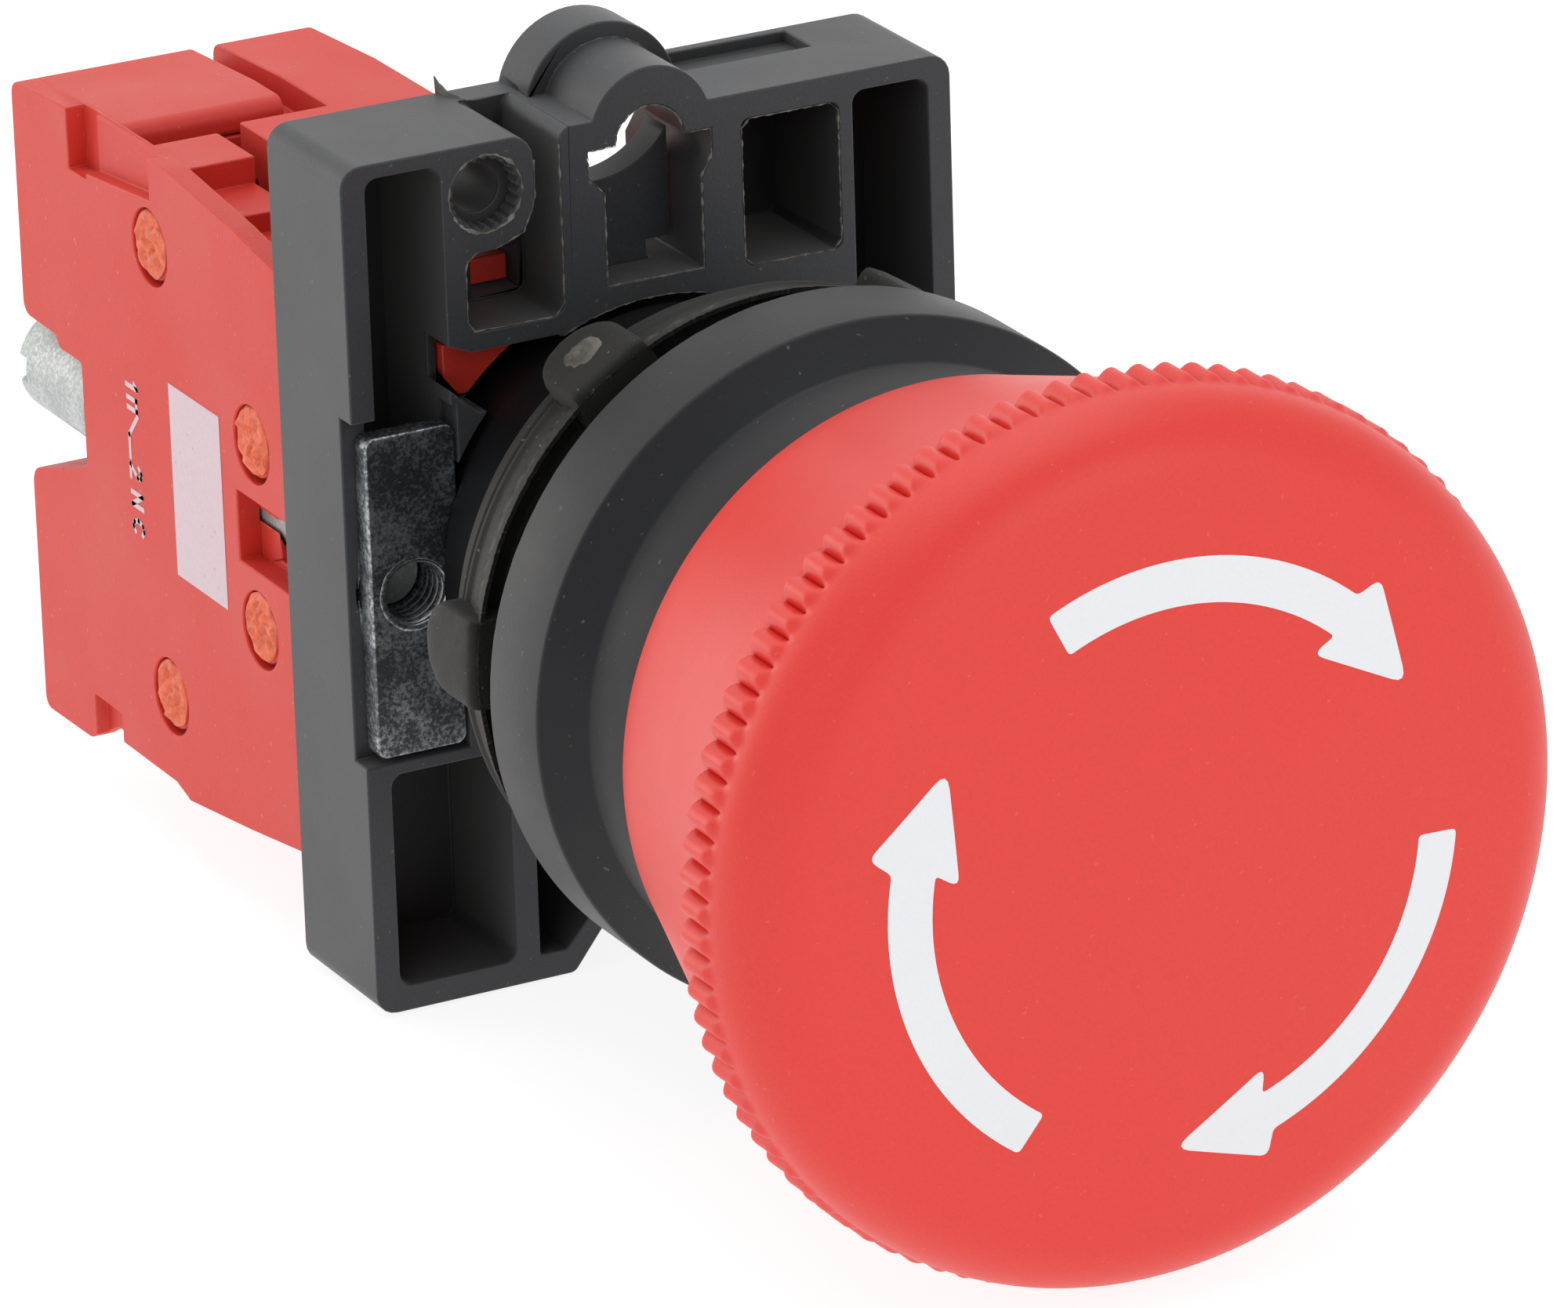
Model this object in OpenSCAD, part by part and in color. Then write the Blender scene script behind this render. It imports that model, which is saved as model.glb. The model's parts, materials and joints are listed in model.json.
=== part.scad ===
// Emergency stop button, 40 mm twist-to-release mushroom head for a 22 mm panel hole,
// with its mounting collar and one screw-fixed contact block.
// The button's axis is Y and its face looks towards -Y. Z is up.
// The origin is the centre of the panel hole, on the face where the gasket meets the panel.

/* [Mushroom head] */
// Diameter over the grip ribs
cap_d = 40; // [39:0.5:41]
// How far the button's face stands in front of the panel
cap_reach = 40.2; // [40:0.1:40.6]
// Number of grip ribs around the rim
rib_count = 96; // [72:4:108]
// Travel of the button from out to latched
press_travel = 4.5; // [3:0.5:4.5]
// Diameter of the black bezel ring
bezel_d = 31.6; // [31:0.1:32]

/* [Panel fit] */
// Diameter of the threaded-size barrel that passes through the panel
barrel_d = 22; // [21.8:0.1:22]
// Gap between the gasket's face and the collar, where the panel goes
panel_gap = 6.6; // [6:0.1:7]

/* [Mounting collar] */
// Width of the collar
collar_w = 30.2; // [30:0.1:30.6]
// Height of the collar without its arch
collar_h = 39.9; // [39.6:0.1:40.2]
// Depth of the collar
collar_depth = 7.5; // [7:0.1:8]
// Distance from the axis to each fixing screw
screw_offset = 12.3; // [12.2:0.05:12.4]

/* [Contact block] */
// Length of the contact block behind the collar
block_len = 28.4; // [28.4:0.1:29]
// Thickness of the riveted side cover
cover_t = 1.1; // [0.9:0.1:1.2]

/* [Hidden] */

fine = 96;
small = 32;
eps = 0.01;

// Mushroom head, front to back
face_y = -cap_reach;
cap_r = cap_d / 2;
rib_root_r = cap_r - 0.75;
rim_r = cap_r - 0.3;
rib_front_y = face_y + 4.7;
rib_len = 2.1;
rib_back_y = rib_front_y + rib_len;
skirt_rear_y = -18.8;
skirt_r = 15.1;
neck_r = 14.1;
neck_front_y = -21.2;
bezel_r = bezel_d / 2;
bezel_front_y = -12.2;
bezel_rear_y = -7.7;
rim_inner_r = 14.95;
floor_y = -10.4;
wall = 1.5;
shoulder_r = 3.5;
dome_r = 111;

// Stem group
stem_r = 4.0;
stem_thick_r = 6.0;
web_front_y = -12.0;
web_rear_y = -10.0;
stem_front_y = -37.4;
hub_rear_y = -26.0;
disc_y = -35.5;
disc_t = 1.5;
barrel_r = barrel_d / 2;
bore_r = 9.0;
barrel_rear_y = 13.6;
cone_start_y = -1.0;
cone_end_y = 5.5;
cone_slope = 0.16;
cone_r = 9.2;
pin_r = 1.2;
pin_tip_x = 8.85;
pusher_y = 6.5;
pusher_t = 2.0;
pusher_r = 8.7;
seat_r = barrel_r - 0.3;
rear_r = barrel_r - 0.2;
flat_x = 9.85;
flat_y = panel_gap - 0.2;
latch_y = 9.3;
latch_t = 1.8;

// Collar
collar_y = panel_gap;
collar_rear_y = collar_y + collar_depth;
collar_half_w = collar_w / 2;
collar_half_h = collar_h / 2;
collar_bore_r = barrel_r + 0.3;
pocket_floor = 1.2;
arch_z = 19.0;
arch_r = 3.0;
rear_arch_r = 3.8;
arch_step = 4.6;
plate_w = 4.4;
plate_h = 15.1;
plate_t = 1.17;
plate_z = -0.2;
thread_r = 1.5;
boss_r = 2.2;
boss_len = 2.4;

// Contact block, in Y from the collar's rear face
block_y = collar_rear_y;
block_rear_y = block_y + block_len;
block_left = -15.0;
block_right = 0.2;
cover_x = block_left + cover_t;
screw_r = 1.45;
screw_tip_y = collar_y + 2.7;
head_r = 2.7;
head_y = 36.1;
head_len = 7.0;
plunger_x = -5.6;
plunger_r = 1.8;
plunger_tip_y = pusher_y + pusher_t + 0.1;
chamber_y = 22.0;
chamber_rear_y = 41.2;
term_x = -9.7;
term_up_z = 9.1;
notch_x = -9.0;
term_low_z = -10.4;
lid_front_y = 32.0;

// ---------- helpers ----------

// Turns a shape drawn up Z so that it points along +Y
module along_y(y = 0) {
    translate([0, y, 0]) rotate([-90, 0, 0]) children();
}

// A revolved part about the Y axis, from a profile of [radius, y] points
module turned(profile) {
    rotate([-90, 0, 0]) rotate_extrude($fn = fine) polygon(profile);
}

// A plate from an XZ outline, thick from y to y + t
module slab(y, t) {
    translate([0, y + t, 0]) rotate([90, 0, 0]) linear_extrude(t) children();
}

// A plate from a YZ outline, thick from x to x + t
module side_slab(x, t) {
    translate([x, 0, 0]) rotate([90, 0, 90]) linear_extrude(t) children();
}

// A box from its two corners
module block(low, high) {
    translate(low) cube(high - low);
}

// A rod along Y
module rod(x, z, y0, y1, r, fn = small) {
    translate([x, y0, z]) rotate([-90, 0, 0]) cylinder(h = y1 - y0, r = r, $fn = fn);
}

// A rectangle with round corners, from its two corners
module soft_rect(low, high, r) {
    translate([low[0] + r, low[1]]) square([high[0] - low[0] - 2 * r, high[1] - low[1]]);
    translate([low[0], low[1] + r]) square([high[0] - low[0], high[1] - low[1] - 2 * r]);
    for (x = [low[0] + r, high[0] - r])
        for (z = [low[1] + r, high[1] - r])
            translate([x, z]) circle(r = r, $fn = small);
}

function unit(v) = v / norm(v);

// The points of one corner of an outline, rounded to radius r
function corner(a, b, c, r, n = 5) =
    let (u = unit(a - b),
         v = unit(c - b),
         half = acos(u * v) / 2,
         start = b + u * r / tan(half),
         stop = b + v * r / tan(half),
         centre = b + unit(u + v) * r / sin(half),
         a0 = atan2(start[1] - centre[1], start[0] - centre[0]),
         a1 = atan2(stop[1] - centre[1], stop[0] - centre[0]),
         sweep = (a1 - a0 + 900) % 360 - 180)
    [for (i = [0 : n]) centre + r * [cos(a0 + sweep * i / n), sin(a0 + sweep * i / n)]];

// An outline from [x, y, radius] points
function soft_outline(points) =
    let (n = len(points))
    [for (i = [0 : n - 1])
        let (a = points[(i + n - 1) % n], b = points[i], c = points[(i + 1) % n])
        each b[2] > 0
            ? corner([a[0], a[1]], [b[0], b[1]], [c[0], c[1]], b[2])
            : [[b[0], b[1]]]];

// A coil spring about a Y axis, wound from y0 to y1, with a flat-lying first and last half turn
module coil(y0, y1, r, wire_r, turns, sides = 8, per_turn = 20) {
    rings = turns * per_turn;
    function height(t) = y0 + wire_r + (y1 - y0 - 2 * wire_r) * t;
    points = [for (i = [0 : rings])
        let (angle = 360 * i / per_turn, y = height(i / rings))
        for (j = [0 : sides - 1])
            let (b = 360 * j / sides, rr = r + wire_r * cos(b))
            [rr * cos(angle), y + wire_r * sin(b), rr * sin(angle)]];
    tube = [for (i = [0 : rings - 1])
        for (j = [0 : sides - 1])
            let (k = (j + 1) % sides)
            [i * sides + j, i * sides + k, (i + 1) * sides + k, (i + 1) * sides + j]];
    first = [for (j = [0 : sides - 1]) sides - 1 - j];
    last = [for (j = [0 : sides - 1]) rings * sides + j];
    polyhedron(points, concat(tube, [first, last]), convexity = 6);
}

// ---------- head, fixed in the panel ----------

module bezel_ring() {
    color("#3a3a3c")
    turned([[rim_inner_r, bezel_rear_y], [bezel_r, bezel_rear_y], [bezel_r, bezel_front_y + 0.3],
            [bezel_r - 0.3, bezel_front_y - 0.3], [neck_r, bezel_front_y - 1.7],
            [neck_r, neck_front_y], [12.6, neck_front_y], [12.6, floor_y],
            [rim_inner_r, floor_y]]);
}

// Inner body: flange in the bezel, web that guides the stem, barrel through the panel,
// with flats at its rear that clear the nut plates
module barrel_body() {
    cone_r_end = cone_r - cone_slope * (cone_end_y - cone_start_y);
    color("#2b2b2d")
    difference() {
        turned([[stem_r + 0.05, web_front_y], [11.4, web_front_y], [11.4, neck_front_y + 0.6],
                [12.5, neck_front_y + 0.6], [12.5, floor_y], [seat_r, floor_y],
                [seat_r, 0], [barrel_r, 0], [barrel_r, flat_y], [rear_r, flat_y],
                [rear_r, latch_y - 0.1], [barrel_r - 0.7, latch_y - 0.1],
                [barrel_r - 0.7, latch_y + latch_t + 0.1], [rear_r, latch_y + latch_t + 0.1],
                [rear_r, barrel_rear_y - 0.4], [rear_r - 0.4, barrel_rear_y],
                [bore_r, barrel_rear_y], [bore_r, cone_end_y], [cone_r_end, cone_end_y],
                [cone_r, cone_start_y], [cone_r, web_rear_y], [stem_r + 0.05, web_rear_y]]);
        for (side = [-1, 1])
            block([side > 0 ? flat_x : -12, flat_y, -6], [side > 0 ? 12 : -flat_x, 15, 6]);
    }
}

// Rubber seal: a thin lip, a taper with two ridges, and four round-ended nubs on the rim
module gasket() {
    nub_r = 2.15;
    rim_y = -4.7;
    color("#4a4744")
    union() {
        turned([[seat_r + 0.03, floor_y + 0.03], [13.4, floor_y + 0.03], [13.4, rim_y + 1],
                [14.6, rim_y + 1], [14.6, rim_y], [14.85, rim_y], [14.85, rim_y + 0.35],
                [14.25, -2.5], [14.35, -2.1],
                [13.9, -1.5], [13.95, -1.15], [13.6, 0], [barrel_r + 0.1, 0],
                [seat_r + 0.03, -0.4]]);
        for (angle = [2, 58, 122, 178])
            rotate([0, -angle, 0])
            difference() {
                side_slab(12.6, 2.6) {
                    translate([rim_y, -nub_r]) square([-nub_r - rim_y, 2 * nub_r]);
                    translate([-nub_r, 0]) circle(r = nub_r - 0.05, $fn = small);
                }
                along_y(-6) cylinder(h = 7, r = 13.1, $fn = fine);
            }
    }
}

// O-ring that seals the stem at the web
module stem_seal() {
    color("#1d1d1f")
    rotate([-90, 0, 0])
    rotate_extrude($fn = fine) translate([4.72, web_front_y - 0.68]) circle(r = 0.65, $fn = small);
}

module return_spring() {
    color("#b9bcc0") coil(hub_rear_y + 0.05, web_front_y - 0.05, 6.3, 0.45, 5);
}

// ---------- stem group, slides with the button ----------

module stem() {
    spigot_r = 3.0;
    color("#d9d6cc")
    difference() {
        turned([[0, stem_front_y], [4.9, stem_front_y], [4.9, stem_front_y + 1.2],
                [stem_r, stem_front_y + 1.5], [stem_r, web_rear_y + 0.1],
                [stem_thick_r, web_rear_y + 0.1], [stem_thick_r, 5.0], [spigot_r, 5.0],
                [spigot_r, pusher_y + pusher_t], [2.4, pusher_y + pusher_t],
                [2.4, pusher_y + pusher_t + 0.5], [2.9, pusher_y + pusher_t + 0.5],
                [2.7, pusher_y + pusher_t + 0.8], [0, pusher_y + pusher_t + 0.8]]);
        rotate([0, 90, 0])
            cylinder(h = 2 * stem_thick_r + 2, r = pin_r + 0.06, center = true, $fn = small);
    }
}

// Disc at the stem's rear that pushes the contact block's plunger
module pusher_disc() {
    color("#2f2f31")
    turned([[3.03, pusher_y], [pusher_r, pusher_y], [pusher_r, pusher_y + pusher_t],
            [3.03, pusher_y + pusher_t]]);
}

// Spring clip that holds the pusher disc on the stem, open at one side
module retaining_clip() {
    color("#a6a9ad")
    difference() {
        rod(0, 0, pusher_y + pusher_t + 0.03, pusher_y + pusher_t + 0.47, 3.6);
        rod(0, 0, pusher_y + pusher_t - 1, pusher_y + pusher_t + 2, 2.45);
        block([-1.6, pusher_y + pusher_t - 1, -6], [1.6, pusher_y + pusher_t + 2, 0]);
    }
}

// Pushes the two latch pins apart inside the stem
module pin_spring() {
    color("#b9bcc0") rotate([0, 0, -90]) coil(-2.9, 2.9, 0.75, 0.2, 7);
}

// One latch pin: a rod with a ball end that slides in the stem's cross hole
module latch_pin(side) {
    color("#c2c5c8")
    rotate([0, side > 0 ? 90 : -90, 0])
    rotate_extrude($fn = small)
    intersection() {
        union() {
            translate([0, 3.0]) square([pin_r, pin_tip_x - pin_r - 3.0]);
            translate([0, pin_tip_x - pin_r]) circle(r = pin_r, $fn = small);
        }
        square([pin_r + 1, pin_tip_x + 1]);
    }
}

module latch_pin_left() { latch_pin(-1); }

module latch_pin_right() { latch_pin(1); }

// ---------- cap group, twists on the stem ----------

// Points of the domed face and its round shoulder, as [radius, y], from the axis outwards
function face_profile() =
    let (centre_r = rim_r - shoulder_r,
         lean = asin(centre_r / (dome_r - shoulder_r)),
         dome_y = face_y + dome_r,
         centre_y = dome_y - (dome_r - shoulder_r) * cos(lean))
    concat([for (r = [0, 4.8, 9.6, 15.4])
               [r, dome_y - sqrt(dome_r * dome_r - r * r)]],
           [for (i = [0 : 8])
               let (a = lean + (86 - lean) * i / 8)
               [centre_r + shoulder_r * sin(a), centre_y - shoulder_r * cos(a)]]);

// Where one arrow lies: an arc of shaft and a triangular head, drawn clockwise
module arrow_outline() {
    mid_r = 12.5;
    half_shaft = 1.1;
    half_head = 2.15;
    tail = 115;
    neck = 50;
    tip = 28;
    steps = 16;
    shaft_out = [for (i = [0 : steps])
        let (a = tail + (neck - tail) * i / steps) (mid_r + half_shaft) * [cos(a), sin(a)]];
    shaft_in = [for (i = [0 : steps])
        let (a = neck + (tail - neck) * i / steps) (mid_r - half_shaft) * [cos(a), sin(a)]];
    head = [(mid_r + half_head) * [cos(neck - 3), sin(neck - 3)],
            mid_r * [cos(tip), sin(tip)],
            (mid_r - half_head) * [cos(neck + 3), sin(neck + 3)]];
    polygon(concat(shaft_out, head, shaft_in));
}

module arrows(y, t) {
    for (turn = [0 : 120 : 240]) rotate([0, turn, 0]) slab(y, t) arrow_outline();
}

module cap_shell() {
    inner_back_r = 14.5;
    inner = [[inner_back_r, skirt_rear_y], [17.4, rib_back_y], [17.6, rib_front_y - 0.3],
             [15.6, face_y + 3.2], [0, face_y + 2.2]];
    core_r = rib_root_r - 0.1;
    turned(concat(face_profile(), [[core_r, rib_front_y + 0.3], [core_r, rib_back_y - 0.3],
                                   [skirt_r, skirt_rear_y]], inner));
}

module mushroom_cap() {
    rib_depth = cap_r - rib_root_r;
    color("#e0352f")
    difference() {
        union() {
            cap_shell();
            slab(rib_front_y, rib_len)
            difference() {
                polygon([for (i = [0 : rib_count - 1])
                    for (k = [0 : 3])
                        let (a = 360 * (i + k / 4) / rib_count,
                             r = cap_r - rib_depth * [1, 0.2, 0, 0.2][k])
                        [r * cos(a), r * sin(a)]]);
                circle(r = 17.8, $fn = fine);
            }
        }
        arrows(face_y - 1, 2.6);
    }
}

// White second shot, flush with the red face
module arrow_inlays() {
    color("#f2f1ee")
    intersection() {
        arrows(face_y - 1, 2.6);
        turned(concat(face_profile(), [[0, rib_front_y]]));
    }
}

// Inner disc and hub that join the cap to the stem
module cap_carrier() {
    hub_r = 5.6;
    color("#1f1f21")
    turned([[stem_r + 0.05, hub_rear_y], [7.2, hub_rear_y], [7.2, hub_rear_y - 1.2],
            [hub_r, hub_rear_y - 1.2], [hub_r, disc_y + disc_t], [17.3, disc_y + disc_t],
            [17.3, disc_y], [stem_r + 0.05, disc_y]]);
}

// Turns the cap back after a twist
module torsion_spring() {
    color("#b9bcc0") coil(disc_y + disc_t + 0.05, hub_rear_y - 1.3, 7.0, 0.4, 6);
}

// ---------- mounting collar group ----------

// Opening shaped like a house with a round top, in the tower over the barrel
module house_hole() {
    polygon([[-2.3, 12.2], [2.5, 12.2], [2.5, 16.5], [3.05, 17.4], [3.05, 18.6],
             [-3.05, 18.6], [-3.05, 17.4], [-2.3, 16.5]]);
    translate([0, 18.5]) circle(r = 1.7, $fn = small);
}

// Slot round the head of the corner block, with a window below it
module corner_cut() {
    polygon(soft_outline([
        [-9.2, 11.3, 0.6], [-4.45, 11.3, 0.6], [-4.45, collar_half_h + 0.03, 0.7],
        [-3.6, collar_half_h + 0.03, 0], [-3.6, 26, 0], [-7.1, 26, 0],
        [-7.1, collar_half_h + 0.03, 0], [-5.7, collar_half_h + 0.03, 1.2], [-5.7, 15, 2],
        [-9.2, 15, 0.8]]));
}

// Opening between the bore and the thin bar below the window
module bar_opening() {
    polygon([[-11, 11.2], [-11, 9.6], [-8.9, 7.6], [-7.85, 7.5], [-7.5, 6], [-4.5, 9.9],
             [-4.7, 10.42], [-9.07, 10.4], [-10.25, 10.9], [-10.3, 11.2]]);
}

module collar_outline() {
    polygon(soft_outline([
        [-collar_half_w, collar_half_h, 1.0], [-collar_half_w, -collar_half_h, 1.0],
        [-5.2, -collar_half_h, 0.5], [-3.2, -17.4, 0.4], [3.2, -17.4, 0.4],
        [5.2, -collar_half_h, 0.5], [collar_half_w, -collar_half_h, 1.0],
        [collar_half_w, collar_half_h, 1.0]]));
}

// Front pockets, all open to the front
module collar_pockets() {
    soft_rect([-13.9, -7.5], [-10.25, 19.25], 0.6);
    soft_rect([-13.9, -18.7], [-8.1, -8.6], 0.6);
    soft_rect([10.15, -7.5], [13.9, 19.0], 0.6);
    soft_rect([8.1, -18.7], [13.9, -8.6], 0.6);
    soft_rect([4.55, 11.85], [9.4, 18.7], 0.4);
    for (side = [-1, 1])
        polygon([[side * 6.9, -13.4], [side * 6.9, -18.7], [side * 5.6, -18.7],
                 [side * 3.7, -16.6], [side * 3.7, -15.6]]);
}

module mounting_collar() {
    floor_at = collar_depth - pocket_floor;
    slot_depth = 5.7;
    window_depth = 3.9;
    color("#333336")
    difference() {
        union() {
            slab(collar_y, collar_depth) collar_outline();
            rod(0.1, arch_z, collar_y, collar_rear_y, arch_r, fine);
            rod(0, arch_z, collar_y + arch_step, collar_rear_y, rear_arch_r, fine);
        }
        // hole for the barrel
        rod(0, 0, collar_y - 1, collar_rear_y + 1, collar_bore_r, fine);
        slab(collar_y - 1, floor_at + 1) collar_pockets();
        slab(collar_y - 1, collar_depth + 2) house_hole();
        slab(collar_y - 1, window_depth + 1) corner_cut();
        slab(collar_y - 1, slot_depth + 1)
        intersection() {
            corner_cut();
            polygon([[-5.7, 14.2], [-3, 14.2], [-3, 30], [-8, 30], [-8, 15.4], [-5.7, 15.4]]);
        }
        slab(collar_y - 1, 3.3) bar_opening();
        slab(collar_y - 1, collar_depth + 2)
            polygon([[-9.75, 10.4], [-9.75, 8.4], [-8.9, 7.6], [-5.6, 7.6], [-5.6, 10.4]]);
        // hole in the corner block, wide then narrow
        rod(-8.1, 17.6, collar_y - 1, collar_y + 1.0, 1.75);
        rod(-8.1, 17.6, collar_y - 1, collar_rear_y + 1, 1.1);
        // way for the contact block's small lug, behind the window
        block([-7.1, collar_y + 3, 11.5], [-4.7, collar_rear_y + 1, 13.5]);
        // step in the top face
        block([3.9, collar_y + 4.3, collar_half_h - 0.6], [10.4, collar_y + 6.9, 25]);
        // seats of the nut plates, and the ways for their screws
        for (side = [-1, 1]) {
            block([side > 0 ? 9.95 : -collar_half_w - 1, collar_y - 1, -8.0],
                  [side > 0 ? collar_half_w + 1 : -9.95, collar_y + plate_t, 8.15]);
            rod(side * screw_offset, plate_z, collar_y, collar_rear_y + 1, boss_r + 0.15);
        }
        // way for the foot of the latch that grips the barrel
        block([-1.1, latch_y - 0.1, 9.0], [1.1, latch_y + latch_t + 0.1, 12.6]);
    }
}

// Latch whose foot drops into the barrel's groove and is lifted to free the collar
module collar_latch() {
    color("#3c3c3f")
    difference() {
        slab(latch_y, latch_t)
            polygon([[-2.2, 13], [-1, 13], [-1, 9], [1, 9], [1, 13], [2.2, 13],
                     [2.2, 19], [-2.2, 19]]);
        rod(-1.4, 20.5, latch_y - 1, latch_y + latch_t + 1, 4.3, fine);
        rod(0, 0, latch_y - 1, latch_y + latch_t + 1, barrel_r - 0.6, fine);
    }
}

// Zinc-plated plate with a drawn, threaded hole
module nut_plate(side) {
    x = side * screw_offset;
    color("#8f969c")
    difference() {
        union() {
            slab(collar_y, plate_t - 0.02)
                soft_rect([x - plate_w / 2, plate_z - plate_h / 2],
                          [x + plate_w / 2, plate_z + plate_h / 2], 0.5);
            rod(x, plate_z, collar_y + plate_t / 2, collar_y + plate_t + boss_len, boss_r);
        }
        rod(x, plate_z, collar_y - 1, collar_y + plate_t + boss_len + 1, thread_r);
    }
}

module nut_plate_left() { nut_plate(-1); }

module nut_plate_right() { nut_plate(1); }

// ---------- contact block ----------

// Side outline of the contact block as [y, z, corner radius], with or without the notch
// that the fixing screw's head lies in
module block_outline(notch) {
    y0 = block_y;
    y1 = block_rear_y;
    polygon(soft_outline(concat(
        [[y0, 13.1, 0], [y0 + 4.5, 13.8, 8], [y0 + 11.5, 14.6, 8], [35.1, 14.6, 0],
         [y1, 14.2, 0.7]],
        notch ? [[y1, 2.8, 0.7], [y1 - 3.6, 2.75, 0.3], [y1 - 4.0, 2.2, 0.3],
                 [y1 - 6.4, 2.2, 0.2], [y1 - 6.4, -2.85, 0.4], [y1 - 3.5, -3.9, 1.0],
                 [y1, -4.9, 1.0]] : [],
        [[y1, -16.9, 0.6], [y1 - 5.2, -16.8, 0.8], [y1 - 7.0, -15.8, 0.8],
         [y1 - 15, -15.8, 0.4], [y1 - 16.2, -16.25, 0.4], [y0 + 5.5, -15.4, 8],
         [y0, -14.6, 0]])));
}

stake_places = [[27.6, 10.3], [17.5, 3.9], [17.5, -5.0], [27.8, -11.6]];
stake_r = 1.6;

module block_cover() {
    color("#dd332e")
    difference() {
        side_slab(block_left, cover_t) block_outline(true);
        for (p = stake_places)
            translate([block_left - 1, p[0], p[1]]) rotate([0, 90, 0])
                cylinder(h = cover_t + 2, r = stake_r + 0.25, $fn = small);
        // window over the fixing screw
        block([block_left - 1, block_y - 1, -2.2], [cover_x + 1, block_y + 5.3, 1.2]);
        // step at the top with a deeper groove behind it, and a notch at the bottom
        side_slab(block_left - 1, 1.7)
            polygon([[27.4, 12.6], [35, 11.85], [35, 20], [27.4, 20]]);
        block([block_left - 1, 34.4, 11.6], [cover_x - 0.12, 36.3, 20]);
        block([block_left - 1, 33.6, -20], [block_left + 0.6, 36.6, -14.4]);
    }
}

// Front of the large lug, less the barrel's room
module lug_outline() {
    difference() {
        polygon([[-9.6, 10.25], [-9.6, 8.5], [-8.85, 7.8], [-5.8, 7.8], [-5.8, 10.25]]);
        circle(r = collar_bore_r + 0.15, $fn = fine);
    }
}

module block_case() {
    floor_x = cover_x + 0.02;
    color("#dd332e")
    union() {
        difference() {
            union() {
                side_slab(floor_x, notch_x - floor_x + eps) block_outline(true);
                side_slab(notch_x, block_right - notch_x) block_outline(false);
            }
            // chamber for the plunger and the bridge
            block([plunger_x - 2.5, chamber_y, -5.8], [plunger_x + 2.5, chamber_rear_y, 5.3]);
            rod(plunger_x, plate_z, block_y - 1, chamber_y + 1, plunger_r + 0.06);
            // way for the fixing screw and its head
            rod(-screw_offset, plate_z, block_y - 1, head_y + 1, screw_r + 0.15);
            rod(-screw_offset, plate_z, head_y - 0.1, block_rear_y + 1, head_r + 0.15);
            block([floor_x - 1, block_y + 0.6, -1.8], [-screw_offset, block_y + 3.2, 1.4]);
            // terminal pockets, open to the rear and to the wire entry
            for (z = [term_up_z, term_low_z]) {
                rod(term_x, z, 28, block_rear_y + 1, 2.9);
                block([-13.2, 28.2, z - 2.9], [-6.3, 33.2, z + 3.2]);
            }
            // wire entries and the seats of the lids
            block([floor_x - 1, 29.9, term_up_z], [-4.7, lid_front_y, 20]);
            block([floor_x - 1, lid_front_y - 1, 13.2], [-4.7, block_rear_y + 1, 20]);
            block([floor_x - 1, 29.9, -20], [-4.7, lid_front_y, term_low_z]);
            block([floor_x - 1, lid_front_y - 1, -20], [-4.7, block_rear_y + 1, -14.3]);
            // steps in front of the upper wire entry
            block([floor_x - 1, block_y - 1, 12.0], [-10.1, 22.0, 20]);
            block([floor_x - 1, 21.5, 13.0], [-10.1, 25.9, 20]);
            block([floor_x - 1, 25.5, 14.3], [-10.1, 31, 20]);
            block([-10.3, block_y - 1, 11.0], [-9.2, 30.7, 20]);
            // slots for the fixed contacts
            block([-8.7, 24.8, 5.2], [-3.6, 29.8, 6.6]);
            block([-8.7, 24.8, -7.5], [-3.6, 29.8, -5.7]);
        }
        // lugs that reach forwards into the collar
        slab(collar_y + 2, collar_depth - 1.5) lug_outline();
        block([-6.95, collar_y + 4.9, 11.65], [-4.85, block_y + 0.5, 12.85]);
        for (p = stake_places)
            translate([block_left + 0.25, p[0], p[1]]) rotate([0, 90, 0])
                cylinder(h = floor_x - block_left, r = stake_r, $fn = small);
    }
}

// Finger guards over the terminals, flush with the case and round at the front
module terminal_lid_upper() {
    color("#dd332e")
    side_slab(cover_x + 0.1, 7.85)
        polygon(soft_outline([
            [lid_front_y, 13.25, 0.3], [lid_front_y, 14.6, 0.7], [35.1, 14.6, 0],
            [block_rear_y, 14.2, 0.7], [block_rear_y, 13.25, 0]]));
}

module terminal_lid_lower() {
    color("#dd332e")
    side_slab(cover_x + 0.1, 7.85) soft_rect([lid_front_y, -15.9], [block_rear_y, -14.35], 0.7);
}

// Fixed contact: terminal tab, riser and tip
module fixed_contact(dir) {
    inner = dir > 0 ? [5.5, 6.4] : [-7.4, -6.3];
    tab = dir > 0 ? [6.3, 12.0] : [-13.1, -7.3];
    foot = dir > 0 ? [2.4, 6.4] : [-7.4, -2.8];
    tip_z = dir > 0 ? 3.7 : -4.1;
    color("#c98f55")
    union() {
        block([-12.9, 28.9, tab[0]], [-6.5, 29.7, tab[1]]);
        block([-8.6, 24.9, inner[0]], [-6.5, 29.7, inner[1]]);
        block([-8.6, 24.9, inner[0]], [-3.7, 25.7, inner[1]]);
        block([plunger_x - 1.9, 24.9, foot[0]], [plunger_x + 1.9, 25.7, foot[1]]);
        rod(plunger_x, tip_z, 25.5, 26.1, 1.3);
    }
}

module contact_upper() { fixed_contact(1); }

module contact_lower() { fixed_contact(-1); }

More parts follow.
